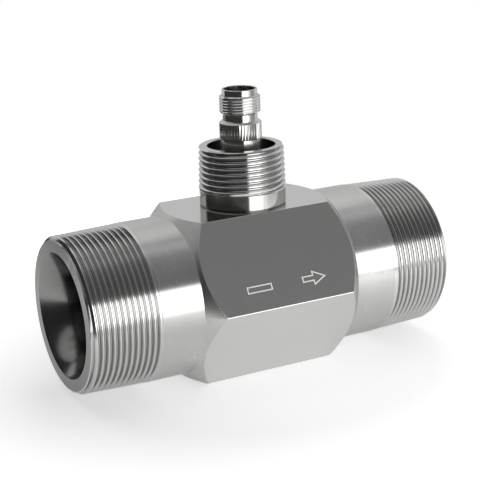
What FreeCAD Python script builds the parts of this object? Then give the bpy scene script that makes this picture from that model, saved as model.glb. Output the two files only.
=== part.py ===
import FreeCAD
import Part
import math
import os

# Turbine flow meter: a hexagon-bar housing with tapered pipe threads at both ends, a free-spinning
# rotor carried between two vaned supports, and a magnetic pickup screwed down into a riser above it.
# All lengths are millimetres. The model is worked out about the flow axis (+X is downstream, the
# rotor is at X = 0 and the pickup axis is +Z), and is lifted at export so that Z = 0 is the face
# that the meter rests on.

Vec = FreeCAD.Vector
INCH = 25.4

# ---- Housing, outside -------------------------------------------------------------------------
overall_length = 6.06 * INCH
hex_across_flats = 2.5 * INCH
hex_edge_length = 54.3            # corner edges, between the turned end cones
hex_cone_angle = 45.0             # turned cones at both ends of the hexagon, from the flow axis
shank_diameter = 61.3
pipe_thread_end_diameter = 59.4   # crest diameter at the small end of the 2 in taper thread
pipe_thread_length = 26.9
thread_taper = 1.0 / 16.0         # on the diameter
pipe_end_chamfer = 1.4

# ---- Housing, inside --------------------------------------------------------------------------
mouth_diameter = 47.3
mouth_half_angle = 30.0
entry_bore_diameter = 36.5
locating_bore_diameter = 36.0
locating_bore_reach = 53.5        # from the rotor's plane to the end of the locating bore
measuring_bore_diameter = 34.8
measuring_bore_reach = 13.0       # from the rotor's plane to the shoulder of each support

# ---- Supports and their retaining rings -------------------------------------------------------
hub_diameter = 17.0
vane_count = 4
vane_thickness = 1.8
vane_length = 24.0
hub_boss_diameter = 14.0          # step of the hub that faces the rotor
hub_boss_length = 2.6
support_clearance = 0.05          # radial, in the locating bore
nose_length = 15.0
tail_length = 15.0
cone_spigot_diameter = 6.0
cone_spigot_length = 6.0
ring_thickness = 1.3
ring_width = 2.3                  # radial
ring_groove_depth = 0.95
ring_gap_angle = 34.0             # between the two lug centres
ring_lug_diameter = 4.2
ring_lug_hole = 1.7
ring_clearance = 0.05

# ---- Rotor and bearings -----------------------------------------------------------------------
blade_count = 8                   # a gap, not a blade, faces the pickup at rest
blade_lead = 120.0                # axial advance of the helicoid in one turn
blade_axial_length = 13.0
blade_root_thickness = 1.6
blade_tip_thickness = 1.0
tip_clearance = 0.4
rotor_hub_length = 16.0
rotor_hub_chamfer = 0.8
shaft_diameter = 4.76
shaft_length = 46.0
shaft_chamfer = 0.4
running_clearance = 0.04          # radial, between the shaft and the rotor's bushings
seat_clearance = 0.02             # radial, where a piece is pressed or bonded into its seat
bushing_diameter = 8.0
bushing_length = 6.5
bushing_flange_diameter = 11.0
bushing_flange_thickness = 1.3
bushing_stand_out = 0.3           # how far a flange stands proud of the rotor's hub
end_float = 0.2                   # axial play at each end of the rotor
thrust_washer_diameter = 10.0
thrust_washer_thickness = 1.2

# ---- Riser ------------------------------------------------------------------------------------
riser_diameter = 33.3
riser_height = 22.9
riser_shank_height = 6.5          # plain ring below the 1 in taper thread
riser_base_chamfer = 0.7
riser_thread_end_diameter = 32.6  # crest diameter at the top
riser_top_chamfer = 0.45
riser_bore_diameter = 26.2
riser_floor_thickness = 2.3
spigot_diameter = 28.0            # threaded spigot below the ring
spigot_length = 7.5
spigot_clearance = 0.05
well_floor_thickness = 2.0        # metal left between the pickup's tip and the measuring bore
well_clearance = 0.3

# ---- Magnetic pickup --------------------------------------------------------------------------
pickup_barrel_length = 37.8       # threaded barrel, from its tip to the collar
pickup_thread_diameter = 15.8
pickup_relief_diameter = 15.3
pickup_relief_length = 4.2
pickup_collar_diameter = 16.1
pickup_collar_height = 6.8
pickup_collar_chamfer = 0.7
pickup_neck_diameter = 13.4
pickup_neck_length = 2.9
coupling_thread_diameter = 15.72  # 5/8-24 unified extra fine
coupling_thread_length = 7.0
coupling_chamfer = 0.5
rim_diameter = 13.5
rim_length = 2.3
pickup_thread_clearance = 0.05
socket_diameter = 12.2
socket_depth = 12.2
shell_bore_diameter = 13.0
shell_tip_thickness = 1.0
nut_across_flats = 22.2
nut_height = 5.0
nut_chamfer_angle = 30.0
bobbin_height = 13.0
bobbin_flange_thickness = 1.0
bobbin_core_diameter = 5.2
bobbin_clearance = 0.1
pole_diameter = 3.2
pole_clearance = 0.05
coil_diameter = 12.2
magnet_diameter = 6.0
magnet_length = 12.0
insert_flange_thickness = 1.4
contact_diameter = 1.58
contact_spacing = 4.4
contact_recess = 4.9              # from the rim down to the contacts' tips
contact_tail_length = 1.6         # below the insert
lead_diameter = 0.7
lead_offset = 4.6                 # from the pickup's axis, where the leads leave the coil

# ---- Worked-out sizes -------------------------------------------------------------------------
half_length = overall_length / 2
flat_height = hex_across_flats / 2
corner_radius = flat_height / math.cos(math.radians(30))
shank_radius = shank_diameter / 2
hex_cone_length = (corner_radius - shank_radius) / math.tan(math.radians(hex_cone_angle))
hex_foot_reach = hex_edge_length / 2 + hex_cone_length
thread_end_radius = pipe_thread_end_diameter / 2
thread_inner_reach = half_length - pipe_thread_length
thread_inner_radius = thread_end_radius + pipe_thread_length * thread_taper / 2
mouth_radius = mouth_diameter / 2
entry_radius = entry_bore_diameter / 2
mouth_depth = (mouth_radius - entry_radius) / math.tan(math.radians(mouth_half_angle))
locating_radius = locating_bore_diameter / 2
measuring_radius = measuring_bore_diameter / 2
vane_end_reach = measuring_bore_reach + vane_length
ring_groove_radius = locating_radius + ring_groove_depth
ring_groove_width = ring_thickness + 2 * ring_clearance
hub_radius = hub_diameter / 2
hub_end_reach = vane_end_reach
thrust_face_reach = rotor_hub_length / 2 + bushing_stand_out + end_float
hub_face_reach = thrust_face_reach + thrust_washer_thickness
shaft_radius = shaft_diameter / 2
well_floor_height = measuring_radius + well_floor_thickness
spigot_end_height = flat_height - spigot_length
riser_floor_height = flat_height + riser_floor_thickness
riser_top_height = flat_height + riser_height
pickup_radius = pickup_thread_diameter / 2
pickup_collar_base = well_floor_height + pickup_barrel_length
pickup_collar_top = pickup_collar_base + pickup_collar_height
coupling_thread_base = pickup_collar_top + pickup_neck_length
coupling_thread_top = coupling_thread_base + coupling_thread_length
rim_top = coupling_thread_top + rim_length
bobbin_base = well_floor_height + shell_tip_thickness
bobbin_top = bobbin_base + bobbin_height
magnet_top = bobbin_top + magnet_length
socket_floor = rim_top - socket_depth
insert_shoulder = pickup_collar_base
insert_base = insert_shoulder - insert_flange_thickness
contact_bottom = insert_base - contact_tail_length
contact_offset = contact_spacing / 2


def revolved(points, axis):
    """A solid turned from a closed outline of (position along the axis, radius) points."""
    if axis == "x":
        outline = [Vec(along, 0, radius) for along, radius in points]
        direction = Vec(1, 0, 0)
    else:
        outline = [Vec(radius, 0, along) for along, radius in points]
        direction = Vec(0, 0, 1)
    face = Part.Face(Part.makePolygon(outline + outline[:1]))
    return face.revolve(Vec(0, 0, 0), direction, 360)


def rod(axis, start, end, radius, offset=(0, 0)):
    """A plain cylinder along X or Z between two positions."""
    if axis == "x":
        return Part.makeCylinder(radius, end - start, Vec(start, *offset), Vec(1, 0, 0))
    return Part.makeCylinder(radius, end - start, Vec(offset[0], offset[1], start), Vec(0, 0, 1))


def tube(axis, start, end, outer, inner):
    """A plain ring: a rod less its bore."""
    return rod(axis, start, end, outer).cut(rod(axis, start, end, inner))


def hexagon(axis, across_flats, start, end):
    """A hexagonal bar along X or Z. Along X, two flats lie level, above and below the axis."""
    radius = across_flats / 2 / math.cos(math.radians(30))
    corners = []
    for index in range(6):
        angle = math.radians(60 * index)
        if axis == "x":
            corners.append(Vec(start, radius * math.cos(angle), radius * math.sin(angle)))
        else:
            corners.append(Vec(radius * math.cos(angle), radius * math.sin(angle), start))
    direction = Vec(end - start, 0, 0) if axis == "x" else Vec(0, 0, end - start)
    return Part.Face(Part.makePolygon(corners + corners[:1])).extrude(direction)


def both_sides(half):
    """A closed outline about the rotor's plane, from the points of its downstream half."""
    return [(-along, radius) for along, radius in reversed(half)] + half


def mirrored(shape):
    """The upstream twin of a downstream piece."""
    return shape.mirror(Vec(0, 0, 0), Vec(1, 0, 0))


# ---- Housing ----------------------------------------------------------------------------------
def turned_outline():
    """Outside of the housing as the lathe leaves it, downstream half."""
    beyond_corner = corner_radius + 1.0
    cone_start = hex_foot_reach - (beyond_corner - shank_radius) / math.tan(math.radians(hex_cone_angle))
    return [
        (cone_start, beyond_corner),
        (hex_foot_reach, shank_radius),
        (thread_inner_reach, shank_radius),
        (thread_inner_reach, thread_inner_radius),
        (half_length - pipe_end_chamfer, thread_end_radius + pipe_end_chamfer * thread_taper / 2),
        (half_length, thread_end_radius - pipe_end_chamfer),
    ]


def bore_outline():
    """Flow passage through the housing, downstream half: two steps, a ring groove and the mouth."""
    overrun = 1.0
    slope = math.tan(math.radians(mouth_half_angle))
    return [
        (measuring_bore_reach, measuring_radius),
        (measuring_bore_reach, locating_radius),
        (vane_end_reach, locating_radius),
        (vane_end_reach, ring_groove_radius),
        (vane_end_reach + ring_groove_width, ring_groove_radius),
        (vane_end_reach + ring_groove_width, locating_radius),
        (locating_bore_reach, locating_radius),
        (locating_bore_reach, entry_radius),
        (half_length - mouth_depth, entry_radius),
        (half_length + overrun, mouth_radius + overrun * slope),
        (half_length + overrun, 0),
    ]


def meter_body():
    bar = hexagon("x", hex_across_flats, -half_length, half_length)
    turned_half = turned_outline()
    turned = revolved(both_sides(turned_half + [(half_length, 0)]), "x")
    body = bar.common(turned)
    body = body.cut(revolved(both_sides(bore_outline()), "x"))
    spigot_seat = rod("z", spigot_end_height, corner_radius, spigot_diameter / 2 + spigot_clearance)
    well = rod("z", well_floor_height, corner_radius, pickup_radius + well_clearance)
    return body.cut(spigot_seat).cut(well)


# ---- Supports ---------------------------------------------------------------------------------
def vane(angle):
    """One radial plate with full-round leading and trailing edges."""
    end_radius = vane_thickness / 2
    start = measuring_bore_reach + end_radius
    end = vane_end_reach - end_radius
    base = hub_radius / 2
    points = [
        Vec(start, end_radius, base),
        Vec(end, end_radius, base),
        Vec(end, -end_radius, base),
        Vec(start, -end_radius, base),
    ]
    edges = [
        Part.LineSegment(points[0], points[1]).toShape(),
        Part.Arc(points[1], Vec(vane_end_reach, 0, base), points[2]).toShape(),
        Part.LineSegment(points[2], points[3]).toShape(),
        Part.Arc(points[3], Vec(measuring_bore_reach, 0, base), points[0]).toShape(),
    ]
    plate = Part.Face(Part.Wire(edges)).extrude(Vec(0, 0, locating_radius - base))
    plate.rotate(Vec(0, 0, 0), Vec(1, 0, 0), angle)
    return plate


def outlet_support():
    """Hub and vanes in one piece; the vanes seat on the measuring bore's shoulder."""
    boss_radius = hub_boss_diameter / 2
    hub = revolved(
        [
            (hub_face_reach, 0),
            (hub_face_reach, boss_radius),
            (hub_face_reach + hub_boss_length, boss_radius),
            (hub_face_reach + hub_boss_length, hub_radius),
            (hub_end_reach, hub_radius),
            (hub_end_reach, 0),
        ],
        "x",
    )
    first_vane = 180.0 / vane_count
    vanes = [vane(first_vane + 360.0 * index / vane_count) for index in range(vane_count)]
    bound = rod("x", 0, hub_end_reach, locating_radius - support_clearance)
    support = hub.fuse([plate.common(bound) for plate in vanes]).removeSplitter()
    shaft_seat = rod("x", hub_face_reach, shaft_length / 2, shaft_radius + seat_clearance)
    cone_seat = rod(
        "x", hub_end_reach - cone_spigot_length, hub_end_reach, cone_spigot_diameter / 2 + seat_clearance
    )
    return support.cut(shaft_seat).cut(cone_seat)


def end_cone(length):
    """Bullet-shaped end of a hub, with the spigot that screws into it."""
    tip = hub_end_reach + length
    ellipse = Part.Ellipse(Vec(tip, 0, 0), Vec(hub_end_reach, 0, hub_radius), Vec(hub_end_reach, 0, 0))
    quarter = Part.ArcOfEllipse(ellipse, 0, math.pi / 2)
    spigot_radius = cone_spigot_diameter / 2
    spigot_end = hub_end_reach - cone_spigot_length
    path = [
        quarter.value(math.pi / 2),
        Vec(hub_end_reach, 0, spigot_radius),
        Vec(spigot_end, 0, spigot_radius),
        Vec(spigot_end, 0, 0),
        quarter.value(0),
    ]
    straight = [Part.LineSegment(a, b).toShape() for a, b in zip(path, path[1:])]
    outline = Part.Wire(Part.__sortEdges__([quarter.toShape()] + straight))
    return Part.Face(outline).revolve(Vec(0, 0, 0), Vec(1, 0, 0), 360)


def outlet_retaining_ring():
    """Internal circlip with two eyed lugs, sprung into its groove against the vanes."""
    start = vane_end_reach + ring_clearance
    end = start + ring_thickness
    outer = ring_groove_radius - ring_clearance
    inner = outer - ring_width
    ring = tube("x", start, end, outer, inner)
    lug_centre_radius = inner + ring_width - ring_lug_diameter / 2
    lower_vane = math.radians(-135)
    half_gap = math.radians(ring_gap_angle / 2)
    gap_half_angle = half_gap - ring_lug_diameter / 2 / lug_centre_radius
    gap_reach = outer + 2.0
    gap = Part.Face(
        Part.makePolygon(
            [
                Vec(start, 0, 0),
                Vec(
                    start,
                    gap_reach * math.cos(lower_vane - gap_half_angle),
                    gap_reach * math.sin(lower_vane - gap_half_angle),
                ),
                Vec(
                    start,
                    gap_reach * math.cos(lower_vane + gap_half_angle),
                    gap_reach * math.sin(lower_vane + gap_half_angle),
                ),
                Vec(start, 0, 0),
            ]
        )
    ).extrude(Vec(ring_thickness, 0, 0))
    ring = ring.cut(gap)
    for side in (-1, 1):
        angle = lower_vane + side * half_gap
        centre = (lug_centre_radius * math.cos(angle), lug_centre_radius * math.sin(angle))
        ring = ring.fuse(rod("x", start, end, ring_lug_diameter / 2, centre))
    ring = ring.common(rod("x", start, end, outer))
    for side in (-1, 1):
        angle = lower_vane + side * half_gap
        centre = (lug_centre_radius * math.cos(angle), lug_centre_radius * math.sin(angle))
        ring = ring.cut(rod("x", start, end, ring_lug_hole / 2, centre))
    return ring.removeSplitter()


# ---- Rotor and bearings -----------------------------------------------------------------------
def blade_section(radius):
    """Blade cross-section at one radius: a plate at the helix angle there, with round ends."""
    tip_radius = measuring_radius - tip_clearance
    share = (radius - hub_radius) / (tip_radius - hub_radius)
    half_thickness = (blade_root_thickness + share * (blade_tip_thickness - blade_root_thickness)) / 2
    helix_angle = math.atan(2 * math.pi * radius / blade_lead)
    along = Vec(math.cos(helix_angle), math.sin(helix_angle), 0)
    across = Vec(-math.sin(helix_angle), math.cos(helix_angle), 0)
    half_chord = (blade_axial_length / 2 - half_thickness) / math.cos(helix_angle)
    centre = Vec(0, 0, radius)
    front = centre - along * half_chord
    back = centre + along * half_chord
    side = across * half_thickness
    nose = along * half_thickness
    edges = [
        Part.LineSegment(front + side, back + side).toShape(),
        Part.Arc(back + side, back + nose, back - side).toShape(),
        Part.LineSegment(back - side, front - side).toShape(),
        Part.Arc(front - side, front - nose, front + side).toShape(),
    ]
    return Part.Wire(edges)


def rotor_wheel():
    """Hub and helical blades in one piece."""
    tip_radius = measuring_radius - tip_clearance
    root = hub_radius - blade_root_thickness / 2
    beyond_tip = tip_radius + 1.0
    stations = 4
    radii = [root + (beyond_tip - root) * index / (stations - 1) for index in range(stations)]
    blade = Part.makeLoft([blade_section(radius) for radius in radii], True)
    half_hub = rotor_hub_length / 2
    blade = blade.common(rod("x", -half_hub, half_hub, tip_radius))
    blades = []
    for index in range(blade_count):
        copy = blade.copy()
        copy.rotate(Vec(0, 0, 0), Vec(1, 0, 0), 360.0 * (index + 0.5) / blade_count)
        blades.append(copy)
    hub = revolved(
        both_sides(
            [
                (half_hub - rotor_hub_chamfer, hub_radius),
                (half_hub, hub_radius - rotor_hub_chamfer),
                (half_hub, 0),
            ]
        ),
        "x",
    )
    wheel = hub.fuse(blades).removeSplitter()
    bore = rod("x", -half_hub, half_hub, bushing_diameter / 2 + seat_clearance)
    seat_depth = bushing_flange_thickness - bushing_stand_out
    seat_radius = bushing_flange_diameter / 2 + seat_clearance
    flange_seat = rod("x", half_hub - seat_depth, half_hub, seat_radius)
    return wheel.cut(bore).cut(flange_seat).cut(mirrored(flange_seat))


def outlet_rotor_bushing():
    """Flanged carbide sleeve pressed into the rotor's hub."""
    outer_end = rotor_hub_length / 2 + bushing_stand_out
    flange_base = outer_end - bushing_flange_thickness
    bore_radius = shaft_radius + running_clearance
    return revolved(
        [
            (outer_end, bore_radius),
            (outer_end, bushing_flange_diameter / 2),
            (flange_base, bushing_flange_diameter / 2),
            (flange_base, bushing_diameter / 2),
            (outer_end - bushing_length, bushing_diameter / 2),
            (outer_end - bushing_length, bore_radius),
        ],
        "x",
    )


def rotor_shaft():
    half_shaft = shaft_length / 2
    return revolved(
        both_sides(
            [
                (half_shaft - shaft_chamfer, shaft_radius),
                (half_shaft, shaft_radius - shaft_chamfer),
                (half_shaft, 0),
            ]
        ),
        "x",
    )


def outlet_thrust_washer():
    bore_radius = shaft_radius + running_clearance
    return tube("x", thrust_face_reach, hub_face_reach, thrust_washer_diameter / 2, bore_radius)


# ---- Riser ------------------------------------------------------------------------------------
def pickup_riser():
    """Threaded stub that guards the pickup: a ring, a taper thread and a threaded spigot below."""
    radius = riser_diameter / 2
    top_radius = riser_thread_end_diameter / 2
    thread_base = flat_height + riser_shank_height
    thread_base_radius = top_radius + (riser_top_height - thread_base) * thread_taper / 2
    well_radius = riser_bore_diameter / 2
    hole_radius = pickup_radius + pickup_thread_clearance
    return revolved(
        [
            (spigot_end_height, hole_radius),
            (spigot_end_height, spigot_diameter / 2),
            (flat_height, spigot_diameter / 2),
            (flat_height, radius - riser_base_chamfer),
            (flat_height + riser_base_chamfer, radius),
            (thread_base, radius),
            (thread_base, thread_base_radius),
            (riser_top_height - riser_top_chamfer, top_radius),
            (riser_top_height, top_radius - riser_top_chamfer),
            (riser_top_height, well_radius),
            (riser_floor_height, well_radius),
            (riser_floor_height, hole_radius),
        ],
        "z",
    )


# ---- Magnetic pickup --------------------------------------------------------------------------
def pickup_shell():
    """Stainless shell: threaded barrel, relief, knurled collar, neck and plug thread."""
    collar_radius = pickup_collar_diameter / 2
    neck_radius = pickup_neck_diameter / 2
    coupling_radius = coupling_thread_diameter / 2
    outline = [
        (well_floor_height, 0),
        (well_floor_height, pickup_radius),
        (pickup_collar_base - pickup_relief_length, pickup_radius),
        (pickup_collar_base - pickup_relief_length, pickup_relief_diameter / 2),
        (pickup_collar_base, pickup_relief_diameter / 2),
        (pickup_collar_base, collar_radius),
        (pickup_collar_top - pickup_collar_chamfer, collar_radius),
        (pickup_collar_top, collar_radius - pickup_collar_chamfer),
        (pickup_collar_top, neck_radius),
        (coupling_thread_base - coupling_chamfer, neck_radius),
        (coupling_thread_base, coupling_radius - coupling_chamfer),
        (coupling_thread_base + coupling_chamfer, coupling_radius),
        (coupling_thread_top - coupling_chamfer, coupling_radius),
        (coupling_thread_top, coupling_radius - coupling_chamfer),
        (coupling_thread_top, rim_diameter / 2),
        (rim_top, rim_diameter / 2),
        (rim_top, 0),
    ]
    shell = revolved(outline, "z")
    bore = rod("z", bobbin_base, insert_shoulder, shell_bore_diameter / 2)
    socket = rod("z", insert_shoulder, rim_top, socket_diameter / 2)
    pole_hole = rod("z", well_floor_height, bobbin_base, pole_diameter / 2 + pole_clearance)
    return shell.cut(bore).cut(socket).cut(pole_hole)


def pickup_lock_nut():
    """Thin hexagon nut that locks the pickup on the riser's floor."""
    top = riser_floor_height + nut_height
    blank = hexagon("z", nut_across_flats, riser_floor_height, top)
    flat_radius = nut_across_flats / 2
    nut_corner = flat_radius / math.cos(math.radians(30))
    drop = (nut_corner - flat_radius) * math.tan(math.radians(nut_chamfer_angle))
    turned = revolved(
        [
            (riser_floor_height, 0),
            (riser_floor_height, flat_radius),
            (riser_floor_height + drop, nut_corner),
            (top - drop, nut_corner),
            (top, flat_radius),
            (top, 0),
        ],
        "z",
    )
    hole = rod("z", riser_floor_height, top, pickup_radius + pickup_thread_clearance)
    return blank.common(turned).cut(hole)


def lead_path(side, radius):
    """One coil lead: up past the magnet, then in to the foot of its contact."""
    bend = magnet_top
    points = [
        Vec(side * lead_offset, 0, bobbin_top - bobbin_flange_thickness),
        Vec(side * lead_offset, 0, bend),
        Vec(side * contact_offset, 0, contact_bottom - lead_diameter),
        Vec(side * contact_offset, 0, contact_bottom),
    ]
    spans = []
    for start, end in zip(points, points[1:]):
        spans.append(Part.makeCylinder(radius, (end - start).Length, start, end - start))
    knees = [Part.makeSphere(radius, point) for point in points[1:-1]]
    return spans[0].fuse(spans[1:] + knees).removeSplitter()


def coil_leads():
    return Part.makeCompound([lead_path(side, lead_diameter / 2) for side in (-1, 1)])


def pole_piece():
    return rod("z", well_floor_height, bobbin_top, pole_diameter / 2)


def coil_bobbin():
    flange_radius = shell_bore_diameter / 2 - bobbin_clearance
    core_radius = bobbin_core_diameter / 2
    bore_radius = pole_diameter / 2 + pole_clearance
    spool = revolved(
        [
            (bobbin_base, bore_radius),
            (bobbin_base, flange_radius),
            (bobbin_base + bobbin_flange_thickness, flange_radius),
            (bobbin_base + bobbin_flange_thickness, core_radius),
            (bobbin_top - bobbin_flange_thickness, core_radius),
            (bobbin_top - bobbin_flange_thickness, flange_radius),
            (bobbin_top, flange_radius),
            (bobbin_top, bore_radius),
        ],
        "z",
    )
    for side in (-1, 1):
        spool = spool.cut(lead_path(side, lead_diameter / 2 + seat_clearance))
    return spool


def pickup_coil():
    start = bobbin_base + bobbin_flange_thickness
    end = bobbin_top - bobbin_flange_thickness
    inner = bobbin_core_diameter / 2 + seat_clearance
    return tube("z", start, end, coil_diameter / 2, inner)


def pickup_magnet():
    return rod("z", bobbin_top, magnet_top, magnet_diameter / 2)


def contact(side):
    """Round contact with a domed tip."""
    radius = contact_diameter / 2
    tip = rim_top - contact_recess
    shank = rod("z", contact_bottom, tip - radius, radius, (side * contact_offset, 0))
    dome = Part.makeSphere(radius, Vec(side * contact_offset, 0, tip - radius))
    return shank.fuse(dome).removeSplitter()


def connector_contacts():
    return Part.makeCompound([contact(side) for side in (-1, 1)])


def connector_insert():
    """Moulded insulator: a flange under the shell's shoulder, and a plug that fills the socket's foot."""
    plug = rod("z", insert_shoulder, socket_floor, socket_diameter / 2 - seat_clearance)
    flange = rod("z", insert_base, insert_shoulder, shell_bore_diameter / 2 - bobbin_clearance)
    insert = plug.fuse(flange).removeSplitter()
    for side in (-1, 1):
        hole_radius = contact_diameter / 2 + seat_clearance
        insert = insert.cut(rod("z", insert_base, socket_floor, hole_radius, (side * contact_offset, 0)))
    return insert


def pickup_potting():
    """Resin that fills the shell between the coil and the connector."""
    fill = rod("z", bobbin_top, insert_base, shell_bore_diameter / 2 - bobbin_clearance)
    fill = fill.cut(rod("z", bobbin_top, magnet_top, magnet_diameter / 2 + seat_clearance))
    for side in (-1, 1):
        fill = fill.cut(lead_path(side, lead_diameter / 2 + seat_clearance))
        contact_room = contact_diameter / 2 + seat_clearance
        fill = fill.cut(rod("z", contact_bottom, insert_base, contact_room, (side * contact_offset, 0)))
    return fill


# ---- Export -----------------------------------------------------------------------------------
def all_parts():
    support = outlet_support()
    ring = outlet_retaining_ring()
    bushing = outlet_rotor_bushing()
    washer = outlet_thrust_washer()
    return {
        "meter_body": meter_body(),
        "inlet_support": mirrored(support),
        "outlet_support": support,
        "inlet_nose_cone": mirrored(end_cone(nose_length)),
        "outlet_tail_cone": end_cone(tail_length),
        "inlet_retaining_ring": mirrored(ring),
        "outlet_retaining_ring": ring,
        "rotor_wheel": rotor_wheel(),
        "inlet_rotor_bushing": mirrored(bushing),
        "outlet_rotor_bushing": bushing,
        "inlet_thrust_washer": mirrored(washer),
        "outlet_thrust_washer": washer,
        "rotor_shaft": rotor_shaft(),
        "pickup_riser": pickup_riser(),
        "pickup_lock_nut": pickup_lock_nut(),
        "pickup_shell": pickup_shell(),
        "pole_piece": pole_piece(),
        "coil_bobbin": coil_bobbin(),
        "pickup_coil": pickup_coil(),
        "pickup_magnet": pickup_magnet(),
        "coil_leads": coil_leads(),
        "pickup_potting": pickup_potting(),
        "connector_insert": connector_insert(),
        "connector_contacts": connector_contacts(),
    }


def main():
    os.makedirs("parts", exist_ok=True)
    for name, shape in all_parts().items():
        shape.translate(Vec(0, 0, flat_height))
        shape.exportStep(os.path.join("parts", name + ".step"))
        print(name, "solids", len(shape.Solids), "volume", round(shape.Volume, 1), "valid", shape.isValid())


main()
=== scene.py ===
import math

import bmesh
import bpy
import numpy as np
from mathutils import Matrix, Vector


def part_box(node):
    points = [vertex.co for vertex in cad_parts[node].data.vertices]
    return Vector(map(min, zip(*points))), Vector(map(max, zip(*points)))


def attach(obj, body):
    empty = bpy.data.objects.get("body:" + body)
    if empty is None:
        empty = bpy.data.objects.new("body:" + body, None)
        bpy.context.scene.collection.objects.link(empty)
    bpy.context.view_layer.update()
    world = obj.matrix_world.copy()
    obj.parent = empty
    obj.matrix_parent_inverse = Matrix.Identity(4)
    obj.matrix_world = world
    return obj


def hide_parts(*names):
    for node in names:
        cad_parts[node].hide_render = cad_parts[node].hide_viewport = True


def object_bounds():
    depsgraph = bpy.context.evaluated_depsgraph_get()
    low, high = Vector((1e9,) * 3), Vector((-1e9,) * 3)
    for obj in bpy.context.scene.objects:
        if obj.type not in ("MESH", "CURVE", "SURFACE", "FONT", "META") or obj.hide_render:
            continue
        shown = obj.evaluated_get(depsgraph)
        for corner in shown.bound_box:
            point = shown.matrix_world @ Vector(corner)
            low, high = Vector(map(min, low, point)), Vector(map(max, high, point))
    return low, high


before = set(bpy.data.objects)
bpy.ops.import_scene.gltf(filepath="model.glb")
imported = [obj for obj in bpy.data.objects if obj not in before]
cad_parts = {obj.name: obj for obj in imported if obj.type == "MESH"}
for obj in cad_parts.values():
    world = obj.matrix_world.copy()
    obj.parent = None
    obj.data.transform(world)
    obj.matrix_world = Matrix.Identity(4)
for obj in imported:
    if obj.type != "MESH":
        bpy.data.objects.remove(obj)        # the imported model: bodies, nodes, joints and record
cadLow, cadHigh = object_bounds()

mm = 0.001
tau = 2 * math.pi
weldStep = 1e-7          # points closer than this, in metres, become one
sharpTurn = 32           # new faces that meet at more than this many degrees keep a sharp edge
scene = bpy.context.scene


# helpers for colours, nodes and meshes

def linear(hexColour):
    # sRGB hex to linear light, with alpha 1
    channels = [int(hexColour[i:i + 2], 16) / 255 for i in (1, 3, 5)]
    return [c / 12.92 if c <= 0.04045 else ((c + 0.055) / 1.055) ** 2.4 for c in channels] + [1.0]


def addNode(tree, kind, settings=None, **inputs):
    # adds one node; a value goes on its socket, another node's output is linked to it. A socket is given by
    # its name, or as i0, i1 and so on by its number
    node = tree.nodes.new(kind)
    for key, value in (settings or {}).items():
        setattr(node, key, value)
    for key, value in inputs.items():
        socket = node.inputs[int(key[1:]) if key[1:].isdigit() else key.replace("_", " ")]
        if isinstance(value, bpy.types.NodeSocket):
            tree.links.new(value, socket)
        else:
            socket.default_value = value
    return node


def newMaterial(name):
    material = bpy.data.materials.new(name)
    material.use_nodes = True
    material.node_tree.nodes.clear()
    return material, material.node_tree


def circlePoints(axis, along, radius, angles):
    # points at a distance along the axis and a radius from it. About X the angle runs from +Z towards -Y:
    # y = -radius sin, z = bore height + radius cos. About Z it runs from -Y towards +X: x = radius sin,
    # y = -radius cos
    along, radius, angles = np.broadcast_arrays(along, radius, angles)
    if axis == "x":
        return np.stack([along, -radius * np.sin(angles), boreHeight + radius * np.cos(angles)], axis=-1)
    return np.stack([radius * np.sin(angles), -radius * np.cos(angles), along], axis=-1)


def gridFaces(index):
    # face (r, c) of a grid has the corners (r, c), (r+1, c), (r+1, c+1) and (r, c+1)
    return np.stack([index[:-1, :-1], index[1:, :-1], index[1:, 1:], index[:-1, 1:]], axis=-1).reshape(-1, 4)


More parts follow.
